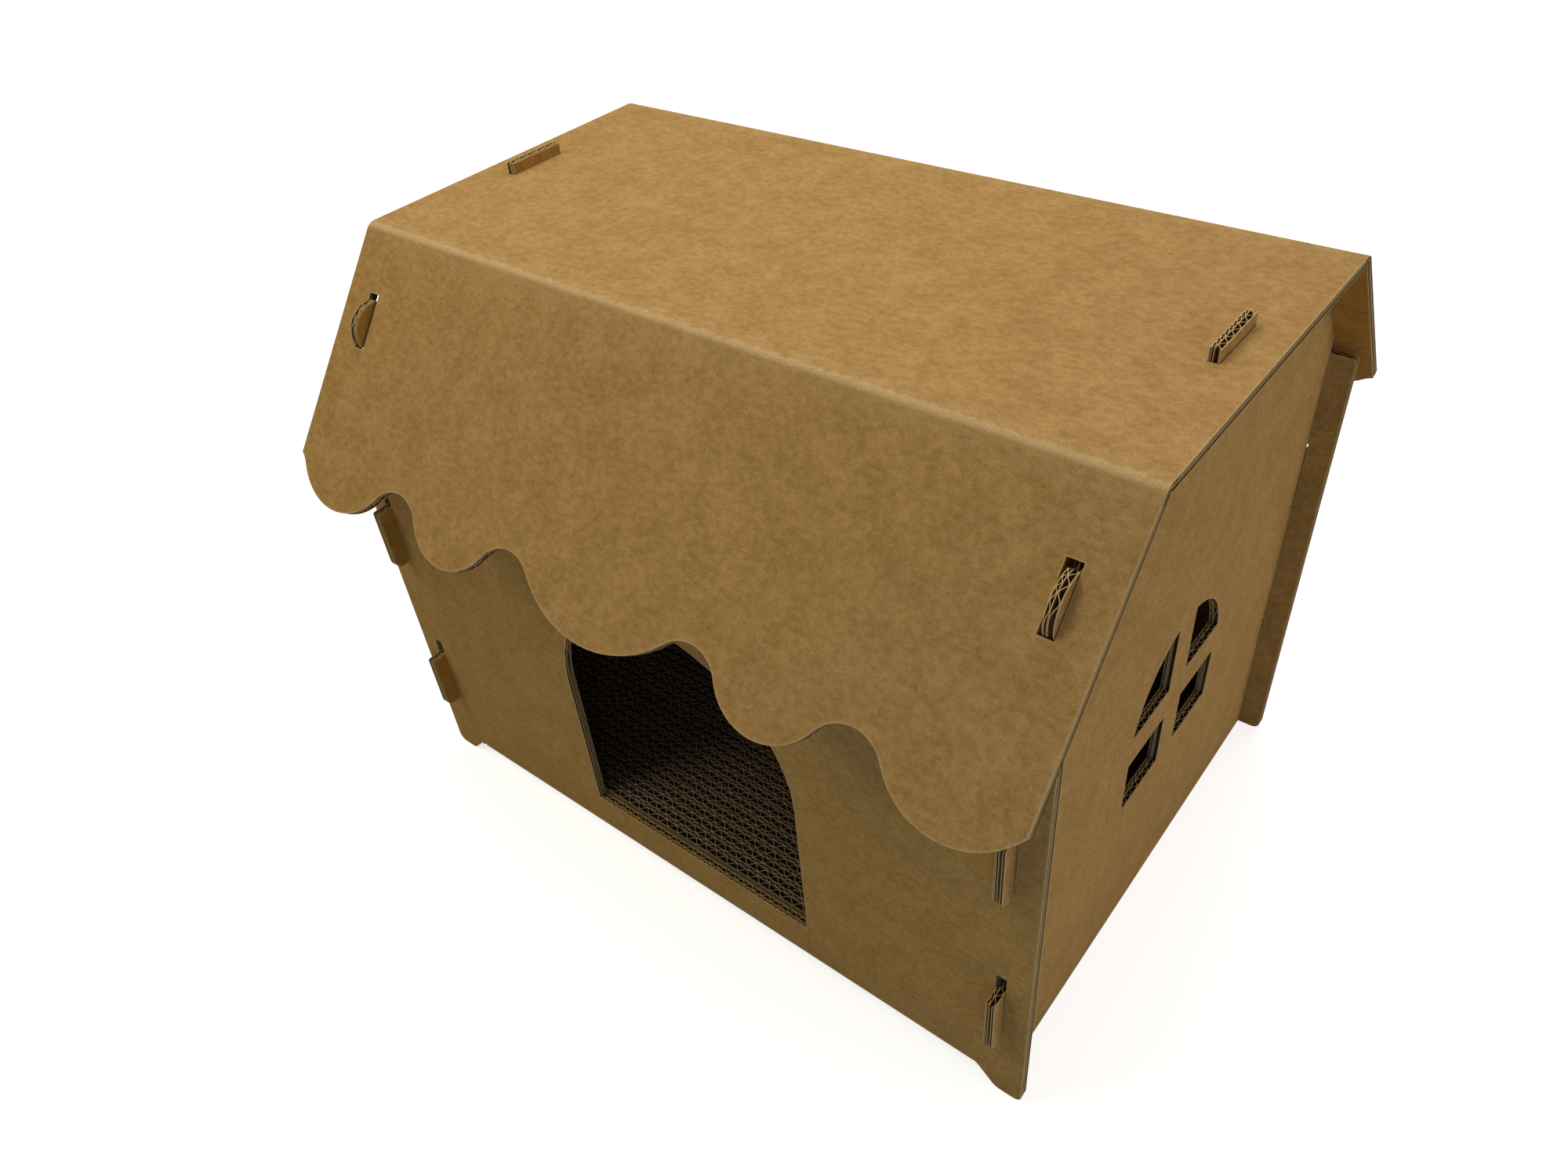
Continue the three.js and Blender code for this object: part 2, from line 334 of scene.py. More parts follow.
def pressed_crease(nodes, flecks):
    """How pale the paper is that a crease has stretched: a core with a faint fringe, straying to and fro."""
    look = bpy.context.scene.cat_house_finish
    line = CREASE_DISTANCE - look.crease_inset
    reach = nodes.maths("SUBTRACT", nodes.maths("ABSOLUTE", nodes.axes()["Y"]), line)
    wander = nodes.maths("MULTIPLY", nodes.maths("SUBTRACT", flecks, NOISE_MEAN), look.crease_wander)
    reach = nodes.maths("ABSOLUTE", nodes.maths("ADD", reach, wander))
    half = look.crease_width / 2
    core = nodes.ramp(reach, (half * CORE_SHARE, half), look.crease_paleness, 0)
    fringe = nodes.ramp(reach, (half, half * FRINGE_SHARE), look.crease_paleness * FRINGE_PALENESS, 0)
    return nodes.maths("ADD", core, fringe)


def kraft_liner(name, colour, across, pitch, creased=False):
    """Mottled kraft paper over flutes that show through as a faint washboard along the across axis."""
    look = bpy.context.scene.cat_house_finish
    nodes = Nodes(name)
    clouds = nodes.noise(look.cloud_scale, **CLOUD_NOISE)
    grained = [look.fibre_stretch] * 3
    grained["XYZ".index(across)] = 1
    flecks = nodes.noise(look.fleck_scale, place=nodes.stretched(grained), **FLECK_NOISE)
    fibres = nodes.noise(look.fibre_scale, **FIBRE_NOISE)
    broad_tone = nodes.ramp(clouds, NOISE_MIDDLE, end=CLOUD_SHARE)
    middle_tone = nodes.ramp(flecks, NOISE_MIDDLE, end=FLECK_SHARE)
    fine_tone = nodes.ramp(fibres, FIBRE_MIDDLE, end=FIBRE_SHARE)
    tone = nodes.maths("ADD", nodes.maths("ADD", broad_tone, middle_tone), fine_tone)
    paper = nodes.mix(tone, toned(colour, -look.mottling), toned(colour, look.mottling))
    # This pale colour serves both the stretched paper of a crease and the painted highlight along cut edges
    pale = (*look.crease_and_highlight_colour, 1)
    if creased:
        patches = nodes.ramp(fibres, STRETCH_MIDDLE, FAINT, 1)
        paper = nodes.mix(nodes.maths("MULTIPLY", pressed_crease(nodes, flecks), patches), paper, pale)
    # Painted highlight: a pale margin along each cut edge, where its rounded rim would catch the light
    rim_highlight = nodes.maths("MULTIPLY", nodes.attribute("rim_highlight"), nodes.ramp(fibres, RIM_HIGHLIGHT_MIDDLE, FAINT, 1))
    paper = nodes.mix(nodes.maths("MULTIPLY", rim_highlight, look.rim_highlight_strength), paper, pale)
    turns = nodes.maths("MULTIPLY", nodes.axes()[across], math.tau / pitch)
    relief = nodes.bump(nodes.maths("SINE", turns), look.washboard, WASHBOARD_DEPTH)
    relief = nodes.bump(nodes.maths("ADD", flecks, fibres), look.grain, GRAIN_DEPTH, relief)
    nodes.set(base_color=paper, roughness=nodes.ramp(flecks, NOISE_MIDDLE, *LINER_ROUGHNESS), normal=relief)
    return nodes.material


def plain_paper(name, colour, scale, contrast):
    """Paper seen at a cut or inside the flutes, with its fibres."""
    nodes = Nodes(name)
    tone = nodes.noise(scale, **CUT_NOISE)
    paper = nodes.mix(tone, toned(colour, -contrast), toned(colour, contrast))
    nodes.set(base_color=paper, roughness=CUT_ROUGHNESS, normal=nodes.bump(tone, CUT_RELIEF, GRAIN_DEPTH))
    return nodes.material


def papers(slot):
    """A board's outer and inner liner with this material slot, its cut edge and its fluted paper; the inner
    liner of the roof and sides and the fluted papers carry painted shade.
    """
    part = "pad" if slot == "kraft_pad" else "board"
    # The inner faces of the roof and sides take a darker, more saturated kraft as painted shade of the inside
    inner = "kraft_inner" if slot in ("kraft_roof", "kraft_side") else slot
    names = (f"{slot}_liner", f"{inner}_liner", f"{part}_cut_edge", f"{part}_flutes")
    return [bpy.data.materials[name] for name in names]


def pick_faces(item, wanted):
    """Opens Edit Mode with only those faces selected for which wanted gives true."""
    choose(item)
    bpy.ops.object.mode_set(mode="EDIT")
    bpy.ops.mesh.select_mode(type="FACE")
    bpy.ops.mesh.select_all(action="DESELECT")
    bpy.ops.object.mode_set(mode="OBJECT")
    for face in item.data.polygons:
        face.select = wanted(face)
    bpy.ops.object.mode_set(mode="EDIT")


def outer_sheet(node, outward):
    """The face of a board's node that looks along outward, as a sheet of its own."""
    sheet = link(f"{node}_sheet", frame["nodes"][node].data.copy())
    sheet.data.materials.clear()
    choose(sheet)
    bpy.ops.mesh.customdata_custom_splitnormals_clear()
    bpy.ops.object.mode_set(mode="EDIT")
    bpy.ops.mesh.select_all(action="SELECT")
    bpy.ops.mesh.remove_doubles(threshold=MERGE_DISTANCE)
    bpy.ops.object.mode_set(mode="OBJECT")
    level = max(vertex.co.dot(outward) for vertex in sheet.data.vertices)

    def buried(face):
        outer = level - face.center.dot(outward) < SAME_LEVEL
        return not (outer and face.normal.dot(outward) > SAME_DIRECTION)

    pick_faces(sheet, buried)
    bpy.ops.mesh.delete(type="FACE")
    bpy.ops.mesh.select_all(action="SELECT")
    bpy.ops.mesh.dissolve_limited(angle_limit=FLAT_ANGLE)
    bpy.ops.object.mode_set(mode="OBJECT")
    return sheet


def paint_rim_highlight(liner, facing):
    """Marks the margin of the liner's face that looks along facing for a painted highlight along a cut; a
    crease gets none.

    Points nearer together than a share of the margin are merged first, so that it doesn't fold over itself.
    """
    board = bpy.context.scene.cat_house_board
    pick_faces(liner, lambda face: face.normal.dot(facing) > SAME_DIRECTION)
    bpy.ops.mesh.remove_doubles(threshold=board.rim_width * RIM_MERGE_SHARE)
    bpy.ops.mesh.quads_convert_to_tris(ngon_method="BEAUTY")
    bpy.ops.mesh.beautify_fill()
    bpy.ops.mesh.inset(thickness=board.rim_width, use_even_offset=False)
    bpy.ops.object.mode_set(mode="OBJECT")
    inside = {vertex for face in liner.data.polygons if face.select for vertex in face.vertices}
    rim_highlight = liner.data.attributes.new("rim_highlight", "FLOAT", "CORNER")
    creased_margin = CREASE_DISTANCE - roof_reach() + board.rim_width
    for face in liner.data.polygons:
        from_crease = Vector((abs(face.center.y) - CREASE_DISTANCE, face.center.z - CREASE_HEIGHT))
        looks_out = face.normal.dot(facing) > SAME_DIRECTION
        if face.select or not looks_out or from_crease.length < creased_margin + BOARD_THICKNESS:
            continue
        for corner in face.loop_indices:
            if liner.data.loops[corner].vertex_index not in inside:
                rim_highlight.data[corner].value = 1


def chance(*place):
    """A number between 0 and 1 that is always the same for the same whole numbers."""
    return 0.5 + 0.5 * noise.cell(Vector((*place, 0)))


def stacked(*papers_in_board):
    """The depth of each paper's top, with its height and its pitch, which is None for a liner."""
    depth = 0.0
    layers = []
    for height, pitch in papers_in_board:
        layers.append((depth, height, pitch))
        depth += height
    return layers


def board_layers(coarse_outside):
    """The papers of a panel's board from its outer face in."""
    board = bpy.context.scene.cat_house_board
    liner = (board.liner_thickness, None)
    fine = (board.fine_height, board.fine_pitch)
    coarse = (BOARD_THICKNESS - 3 * board.liner_thickness - board.fine_height, board.coarse_pitch)
    first, second = (coarse, fine) if coarse_outside else (fine, coarse)
    return stacked(liner, first, liner, second, liner)


def pad_layers(width):
    """The papers of a pad strip from its front face back, with half of each liner glued to the next."""
    board = bpy.context.scene.cat_house_board
    open_width = width - 2 * board.liner_thickness
    coarse = (board.pad_coarse_share * open_width, board.pad_coarse_pitch)
    fine = ((1 - board.pad_coarse_share) * open_width, board.pad_fine_pitch)
    half_liner = (board.liner_thickness / 2, None)
    return stacked(half_liner, coarse, (board.liner_thickness, None), fine, half_liner)


def flute_height(place, pitch, crest, seed=0):
    """How far the fluted paper stands from its middle at this place across the flutes."""
    board = bpy.context.scene.cat_house_board
    flute = math.floor(place / pitch + 0.5)
    spot = Vector((flute * FLUTE_NOISE_STEP, pitch * PITCH_NOISE_STEP, seed + OFF_GRID))
    uneven = board.unevenness * noise.noise(spot)
    turn = math.tau * (place / pitch + UNEVEN_SHIFT * uneven)
    return crest * (1 - UNEVEN_LOSS * abs(uneven)) * math.sin(turn)


def paper_grid(name, columns, rows):
    """A flat sheet in X and Y with its cross lines at these places."""
    clear_selection()
    bpy.ops.mesh.primitive_grid_add(x_subdivisions=len(columns) - 1, y_subdivisions=len(rows) - 1, size=1)
    item = bpy.context.object
    item.name = name
    for vertex in item.data.vertices:
        column = round((vertex.co.x + 0.5) * (len(columns) - 1))
        row = round((vertex.co.y + 0.5) * (len(rows) - 1))
        vertex.co = (columns[column], rows[row], 0)
    return item


def fluted_paper(name, left, right, rows, pitch, height, steps, seed=0):
    """A fluted sheet from left to right with its waves in Z, between liners that lie this far apart."""
    board = bpy.context.scene.cat_house_board
    first = math.ceil(left / pitch * steps)
    last = math.floor(right / pitch * steps)
    columns = [step * pitch / steps for step in range(first, last + 1)]
    item = paper_grid(name, columns, rows)
    crest = (height - board.flute_paper_thickness) / 2 - FLUTE_GAP
    for vertex in item.data.vertices:
        vertex.co.z = flute_height(vertex.co.x, pitch, crest, seed)
    item.data.update()
    return item


def corrugated_board(name, node, outward, along, slot, coarse_outside):
    """A board of three liners with two fluted papers between them, all cut to the outline of its node."""
    board = bpy.context.scene.cat_house_board
    sheet = outer_sheet(node, outward)
    across = along.cross(outward)
    turn = Matrix((across, along, outward)).transposed().to_4x4()
    turned = [turn.inverted() @ vertex.co for vertex in sheet.data.vertices]
    low = Vector(min(point[i] for point in turned) for i in range(3))
    high = Vector(max(point[i] for point in turned) for i in range(3))
    liner_look, inner_look, cut_look, flute_look = papers(slot)
    prism = twin(sheet, f"{name}_prism")
    dress(prism, flute_look, cut_look)
    for face in prism.data.polygons:
        face.material_index = 1
    thicken(prism, BOARD_THICKNESS, -1)
    parts = []
    for depth, height, pitch in board_layers(coarse_outside):
        if pitch is None:
            part = twin(sheet, f"{name}_liner")
            innermost = depth + height > BOARD_THICKNESS - MERGE_DISTANCE
            dress(part, inner_look if innermost else liner_look, cut_look)
            thicken(part, height, -1, rim=1)
            part.data.transform(Matrix.Translation(-outward * depth))
            if innermost or depth == 0:
                # The outer and inner liners' cut margins get the painted highlight
                paint_rim_highlight(part, -outward if innermost else outward)
        else:
            rows = [low.y - FLUTE_OVERRUN, high.y + FLUTE_OVERRUN]
            left, right = low.x - FLUTE_OVERRUN, high.x + FLUTE_OVERRUN
            part = fluted_paper(f"{name}_flutes", left, right, rows, pitch, height, board.flute_steps)
            part.data.transform(turn @ Matrix.Translation((0, 0, high.z - depth - height / 2)))
            dress(part, flute_look, cut_look)
            thicken(part, board.flute_paper_thickness, 0)
            apply_modifier(part, "BOOLEAN", operation="INTERSECT", solver="MANIFOLD", object=prism)
        parts.append(part)
    piece = join(name, parts)
    for spare in (sheet, prism):
        bpy.data.objects.remove(spare)
    smooth(piece)
    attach(piece, frame["nodes"][node]["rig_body"])
    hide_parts(node)
    return piece


def roof_reach():
    """How far the flat of the roof reaches from the middle towards a crease."""
    corners = [vertex.co for vertex in frame["nodes"]["roof_top"].data.vertices]
    return max(corner.y for corner in corners if ROOF_HIGH.z - corner.z < MERGE_DISTANCE)


def crease_lead():
    """Length of the flat paper at either end of a crease's bend."""
    board = bpy.context.scene.cat_house_board
    return CREASE_DISTANCE - roof_reach() - board.crease_radius * math.tan(AWNING_SLOPE / 2)


def crease_rows():
    """Places along the band of paper that bends over a crease, measured on its outside."""
    board = bpy.context.scene.cat_house_board
    lead = crease_lead()
    bend = board.crease_radius * AWNING_SLOPE
    steps = board.crease_steps
    return [0, lead / 2, *(lead + bend * step / steps for step in range(steps + 1)), bend + 1.5 * lead,
            bend + 2 * lead]


def bend_over_crease(item, side):
    """Lays a sheet round the crease: Y becomes the way along the bend, and Z the height over its outside."""
    board = bpy.context.scene.cat_house_board
    radius = board.crease_radius
    lead = crease_lead()
    start = roof_reach() + lead
    for vertex in item.data.vertices:
        x, along, height = vertex.co
        angle = min(max((along - lead) / radius, 0), AWNING_SLOPE)
        crush = 1 - board.crease_crush * math.sin(math.pi * angle / AWNING_SLOPE) ** 2
        reach = radius + height * crush
        beyond = along - lead - radius * angle
        y = start + reach * math.sin(angle) + beyond * math.cos(angle)
        z = CREASE_HEIGHT - radius + reach * math.cos(angle) - beyond * math.sin(angle)
        vertex.co = (x, side * y, z)
    item.data.update()


def crease_band(name, side):
    """The papers that run from the roof's flat over a pressed crease into an awning."""
    board = bpy.context.scene.cat_house_board
    liner_look, inner_look, cut_look, flute_look = papers("kraft_roof")
    rows = crease_rows()
    half = ROOF_WIDTH / 2
    parts = []
    for depth, height, pitch in board_layers(False):
        if pitch is None:
            part = paper_grid(f"{name}_liner", [-half, half], rows)
            part.data.transform(Matrix.Translation((0, 0, -depth)))
            innermost = depth + height > BOARD_THICKNESS - MERGE_DISTANCE
            look, offset, thickness = inner_look if innermost else liner_look, -1, height
        else:
            part = fluted_paper(f"{name}_flutes", -half, half, rows, pitch, height, board.crease_flute_steps)
            part.data.transform(Matrix.Translation((0, 0, -depth - height / 2)))
            look, offset, thickness = flute_look, 0, board.flute_paper_thickness
        bend_over_crease(part, side)
        if side < 0:
            part.data.flip_normals()
        dress(part, look, cut_look)
        thicken(part, thickness, offset, rim=1)
        parts.append(part)
    piece = join(name, parts)
    smooth(piece)
    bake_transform(piece)
    return piece


def pad_strip(name, node, number):
    """One strip of the pad's board on edge, its papers standing up and its flutes starting anywhere.

    Only the pad's front and back liners take the pad's liner paper; the liners between two strips take the
    dark flute paper as painted shade.
    """
    board = bpy.context.scene.cat_house_board
    low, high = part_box(node)
    liner_look, _, cut_look, flute_look = papers("kraft_pad")
    height = high.z - low.z - board.pad_unevenness * chance(number, 0)
    parts = []
    layers = pad_layers(high.y - low.y)
    # The liners between strips get the dark flute paper as painted shade
    end_liner = {0: layers[0], len(PAD_NODES) - 1: layers[-1]}.get(number)
    for layer in layers:
        depth, space, pitch = layer
        if pitch is None:
            part = paper_grid(f"{name}_liner", [low.x, high.x], [0, height])
            look = liner_look if layer is end_liner else flute_look
            offset, thickness, middle = -1, space, depth
        else:
            shift = pitch * chance(number, len(parts))
            steps = board.pad_flute_steps
            part = fluted_paper(
                f"{name}_flutes", low.x - shift, high.x - shift, [0, height], pitch, space, steps, number
            )
            part.data.transform(Matrix.Translation((shift, 0, 0)))
            look, offset, thickness, middle = flute_look, 0, board.flute_paper_thickness, depth + space / 2
        stand = Matrix(((1, 0, 0, 0), (0, 0, -1, low.y + middle), (0, 1, 0, low.z), (0, 0, 0, 1)))
        part.data.transform(stand)
        dress(part, look, cut_look)
        thicken(part, thickness, offset, rim=1)
        parts.append(part)
    return join(name, parts)


class BoardProperties(bpy.types.PropertyGroup):
    liner_thickness: FloatProperty(
        name="Liner thickness", description="Thickness of each flat paper", default=0.00036,
        subtype="DISTANCE", unit="LENGTH",
    )
    flute_paper_thickness: FloatProperty(
        name="Flute paper thickness", description="Thickness of each fluted paper", default=0.0003,
        subtype="DISTANCE", unit="LENGTH",
    )
    # Width of the margin along a cut that the painted highlight takes; the paper there is not roughened
    rim_width: FloatProperty(
        name="Rim width", description="Width of the roughened margin along a cut", default=0.0012,
        subtype="DISTANCE", unit="LENGTH",
    )
    fine_height: FloatProperty(
        name="Fine flute height", description="Space between the liners that hold the fine flutes",
        default=0.00132, subtype="DISTANCE", unit="LENGTH",
    )
    fine_pitch: FloatProperty(
        name="Fine flute pitch", description="From one fine flute to the next", default=0.00405,
        subtype="DISTANCE", unit="LENGTH",
    )
    coarse_pitch: FloatProperty(
        name="Coarse flute pitch", description="From one coarse flute to the next", default=0.0064,
        subtype="DISTANCE", unit="LENGTH",
    )
    flute_steps: IntProperty(
        name="Steps in a flute", description="Facets in one wave of fluted paper", default=8, min=4,
    )
    unevenness: FloatProperty(
        name="Unevenness", description="How far single flutes stray from the even wave", default=1.0,
        min=0, max=2,
    )
    crease_crush: FloatProperty(
        name="Crush at a crease", description="Share of the board's thickness that a pressed crease loses",
        default=0.21, min=0, max=0.5, subtype="FACTOR",
    )
    crease_radius: FloatProperty(
        name="Crease radius", description="Radius of the paper's outside where it bends over a crease",
        default=0.007, subtype="DISTANCE", unit="LENGTH",
    )
    crease_steps: IntProperty(
        name="Steps in a crease", description="Facets round a crease", default=10, min=4,
    )
    crease_flute_steps: IntProperty(
        name="Steps in a creased flute", description="Facets in one wave where it bends over a crease",
        default=4, min=4,
    )
    pad_coarse_pitch: FloatProperty(
        name="Pad's coarse pitch", description="From one coarse flute of the pad to the next",
        default=0.00782, subtype="DISTANCE", unit="LENGTH",
    )
    pad_fine_pitch: FloatProperty(
        name="Pad's fine pitch", description="From one fine flute of the pad to the next", default=0.00638,
        subtype="DISTANCE", unit="LENGTH",
    )
    pad_coarse_share: FloatProperty(
        name="Pad's coarse share", description="Share of a strip's open width that its coarse flutes take",
        default=0.645, min=0.3, max=0.9, subtype="FACTOR",
    )
    pad_flute_steps: IntProperty(
        name="Steps in a pad flute", description="Facets in one wave of the pad's fluted paper", default=6,
        min=4,
    )
    pad_unevenness: FloatProperty(
        name="Pad unevenness", description="How far the strips' tops stand unevenly", default=0.0006,
        subtype="DISTANCE", unit="LENGTH",
    )


class FinishProperties(bpy.types.PropertyGroup):
    roof_colour: FloatVectorProperty(
        name="Roof", description="Kraft paper of the roof", subtype="COLOR", default=(0.43, 0.256, 0.092),
        min=0, max=1,
    )
    wall_colour: FloatVectorProperty(
        name="Front and back", description="Kraft paper of the front and back panels", subtype="COLOR",
        default=(0.43, 0.262, 0.088), min=0, max=1,
    )
    side_colour: FloatVectorProperty(
        name="Sides", description="Kraft paper of the side panels", subtype="COLOR",
        default=(0.44, 0.255, 0.083), min=0, max=1,
    )
    # Darker and more saturated than the outer faces: painted shade of the inside, not a different paper
    shaded_inner_colour: FloatVectorProperty(
        name="Inner faces", description="Kraft paper on the inner faces of the roof and sides",
        subtype="COLOR", default=(0.40, 0.205, 0.04), min=0, max=1,
    )
    # Dark as painted shade of the house's inside, not the pad's own paper colour
    pad_shaded_colour: FloatVectorProperty(
        name="Pad", description="Liners of the pad's strips", subtype="COLOR", default=(0.19, 0.14, 0.06),
        min=0, max=1,
    )
    # Far darker than kraft: painted shade inside the open flutes
    shaded_flute_colour: FloatVectorProperty(
        name="Flutes", description="Fluted paper", subtype="COLOR", default=(0.12, 0.068, 0.032),
        min=0, max=1,
    )
    # Darkened as painted shade of the pad's deep flutes
    pad_shaded_flute_colour: FloatVectorProperty(
        name="Pad flutes", description="Fluted paper of the pad", subtype="COLOR",
        default=(0.14, 0.083, 0.055), min=0, max=1,
    )
    pad_edge_colour: FloatVectorProperty(
        name="Pad edges", description="Cut paper on top of the pad", subtype="COLOR",
        default=(0.52, 0.42, 0.32), min=0, max=1,
    )
    edge_colour: FloatVectorProperty(
        name="Cut edges", description="Paper fibres along a cut", subtype="COLOR",
        default=(0.62, 0.45, 0.23), min=0, max=1,
    )
    # Also the colour of the painted highlight along cut edges
    crease_and_highlight_colour: FloatVectorProperty(
        name="Crease", description="Paper stretched pale over a crease", subtype="COLOR",
        default=(0.60, 0.43, 0.22), min=0, max=1,
    )
    crease_paleness: FloatProperty(
        name="Crease paleness", description="Share of the pale colour along a crease", default=0.7, min=0,
        max=1, subtype="FACTOR",
    )
    crease_width: FloatProperty(
        name="Crease width", description="Width of the pale line along a crease", default=0.005,
        subtype="DISTANCE", unit="LENGTH",
    )
    crease_inset: FloatProperty(
        name="Crease inset", description="How far the pale line lies inside the crease's corner",
        default=0.0005, subtype="DISTANCE", unit="LENGTH",
    )
    crease_wander: FloatProperty(
        name="Crease wander", description="How far the pale line strays to and fro", default=0.004,
        subtype="DISTANCE", unit="LENGTH",
    )
    # Strength of the painted highlight at the very edge of a cut
    rim_highlight_strength: FloatProperty(
        name="Rim paleness", description="Share of the pale colour at the very edge of a cut", default=0.75,
        min=0, max=1, subtype="FACTOR",
    )
    mottling: FloatProperty(
        name="Mottling", description="How far the paper's tone strays from its colour", default=0.34, min=0,
        max=0.5, subtype="FACTOR",
    )
    cloud_scale: FloatProperty(name="Cloud scale", description="Broad patches of tone to a metre", default=60)
    fleck_scale: FloatProperty(name="Fleck scale", description="Flecks to a metre", default=240)
    fibre_scale: FloatProperty(name="Fibre scale", description="Fibres to a metre", default=1300)
    fibre_stretch: FloatProperty(
        name="Fibre stretch", description="How much longer than wide the flecks lie", default=1.35, min=1
    )
    washboard: FloatProperty(
        name="Washboard", description="Strength of the flutes that show through a liner", default=0.4,
        min=0, max=1, subtype="FACTOR",
    )
    grain: FloatProperty(
        name="Grain", description="Strength of the paper's own relief", default=0.3, min=0, max=1,
        subtype="FACTOR",
    )


class StudioProperties(bpy.types.PropertyGroup):
    camera_place: FloatVectorProperty(
        name="Camera", description="Where the camera stands", subtype="TRANSLATION", unit="LENGTH",
        default=(0.33814, -0.42736, 0.59654),
    )
    camera_aim: FloatVectorProperty(
        name="Camera aim", description="The direction in which the camera looks", subtype="DIRECTION",
        default=(-0.50919, 0.565437, -0.64885),
    )
    camera_right: FloatVectorProperty(
        name="Camera right", description="The direction of the camera's right hand", subtype="DIRECTION",
        default=(0.783122, 0.61711, -0.076784),
    )
    lens: FloatProperty(
        name="Lens", description="Focal length on a frame 36 mm wide", default=27.1255,
        subtype="DISTANCE_CAMERA",
    )
    overhead_power: FloatProperty(
        name="Overhead light", description="Power of the soft light above the roof", default=3.4,
        unit="POWER",
    )
    rear_power: FloatProperty(
        name="Rear light", description="Power of the soft light above and behind", default=7.0, unit="POWER",
    )
    right_power: FloatProperty(
        name="Right light", description="Power of the low light on the right", default=9.2, unit="POWER",
    )
    right_tint: FloatVectorProperty(
        name="Right tint", description="Colour of the low light on the right", subtype="COLOR",
        default=(0.98, 0.97, 0.97), min=0, max=1,
    )
    front_power: FloatProperty(
        name="Front light", description="Power of the light in front and to the left", default=5.0,
        unit="POWER",
    )
    front_tint: FloatVectorProperty(
        name="Front tint", description="Colour of the light in front", subtype="COLOR",
        default=(1.0, 0.91, 0.62), min=0, max=1,
    )
    fill_power: FloatProperty(
        name="Fill light", description="Power of the low cool light in front and to the right", default=0.95,
        unit="POWER",
    )
    fill_tint: FloatVectorProperty(
        name="Fill tint", description="Colour of the cool light", subtype="COLOR", default=(0.25, 0.55, 1.0),
        min=0, max=1,
    )
    surroundings: FloatProperty(
        name="Surroundings", description="Strength of the light from all round", default=0.08, min=0,
    )
    surroundings_tint: FloatVectorProperty(
        name="Surroundings' tint", description="Colour of the light from all round", subtype="COLOR",
        default=(1.0, 0.8, 0.5), min=0, max=1,
    )
    floor_glow: FloatProperty(
        name="Floor's glow", description="Whiteness that the floor by the house has of its own", default=0.75,
        min=0, max=1, subtype="FACTOR",
    )


class CATHOUSE_OT_papers(bpy.types.Operator):
    """Makes the kraft papers: the liners of each kind of panel, their cut edges and the fluted paper"""

    bl_idname = "cathouse.papers"
    bl_label = "Kraft Papers"

    def execute(self, context):
        look = context.scene.cat_house_finish
        pitch = context.scene.cat_house_board.coarse_pitch
        kraft_liner("kraft_wall_liner", look.wall_colour, "X", pitch)
        kraft_liner("kraft_side_liner", look.side_colour, "Y", pitch)
        kraft_liner("kraft_roof_liner", look.roof_colour, "X", pitch, creased=True)
        # Painted shade: the inner faces' kraft is darker and more saturated
        kraft_liner("kraft_inner_liner", look.shaded_inner_colour, "X", pitch)
        # The pad's dark liner colour is painted shade
        kraft_liner("kraft_pad_liner", look.pad_shaded_colour, "X", pitch)
        plain_paper("board_cut_edge", look.edge_colour, *BOARD_CUT)
        # The fluted paper's dark colour is painted shade in the flutes' hollows
        plain_paper("board_flutes", look.shaded_flute_colour, *FLUTED_PAPER)
        plain_paper("pad_cut_edge", look.pad_edge_colour, *PAD_CUT)
        # The pad's dark flute colour is painted shade
        plain_paper("pad_flutes", look.pad_shaded_flute_colour, *FLUTED_PAPER)
        return {"FINISHED"}


class CATHOUSE_OT_end_panels(bpy.types.Operator):
    """Builds the front and back panels, which have the feet, the hook slots and the doorway"""

    bl_idname = "cathouse.end_panels"
    bl_label = "Front and Back Panels"

    def execute(self, context):
        for name, outward in (("front_panel", -BACK), ("back_panel", BACK)):
            corrugated_board(f"{name}_board", name, outward, UP, "kraft_wall", False)
        return {"FINISHED"}


class CATHOUSE_OT_side_panels(bpy.types.Operator):
    """Builds the side panels, which have the hooks, the tabs and the windows"""

    bl_idname = "cathouse.side_panels"
    bl_label = "Side Panels"

    def execute(self, context):
        for name, outward in (("left_side_panel", -RIGHT), ("right_side_panel", RIGHT)):
            corrugated_board(f"{name}_board", name, outward, UP, "kraft_side", True)
        return {"FINISHED"}


class CATHOUSE_OT_roof(bpy.types.Operator):
    """Builds the flat of the roof and both awnings"""

    bl_idname = "cathouse.roof"
    bl_label = "Roof Leaves"

    def execute(self, context):
        corrugated_board("roof_top_board", "roof_top", UP, BACK, "kraft_roof", False)
        for name, side in (("front_awning", -1), ("rear_awning", 1)):
            outward = Vector((0, side * math.sin(AWNING_SLOPE), math.cos(AWNING_SLOPE)))
            along = RIGHT.cross(outward)
            corrugated_board(f"{name}_board", name, outward, -along, "kraft_roof", False)
        return {"FINISHED"}


class CATHOUSE_OT_creases(bpy.types.Operator):
    """Bends the roof's papers over its two pressed creases"""

    bl_idname = "cathouse.creases"
    bl_label = "Roof Creases"

    def execute(self, context):
        crease_band("front_crease_band", -1)
        crease_band("rear_crease_band", 1)
        return {"FINISHED"}


class CATHOUSE_OT_pad(bpy.types.Operator):
    """Stacks the scratching pad's strips on edge"""

    bl_idname = "cathouse.pad"
    bl_label = "Scratching Pad"

    def execute(self, context):
        for number, node in enumerate(PAD_NODES):
            piece = pad_strip(f"{node}_papers", node, number)
            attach(piece, frame["nodes"][node]["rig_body"])
            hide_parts(node)
        return {"FINISHED"}


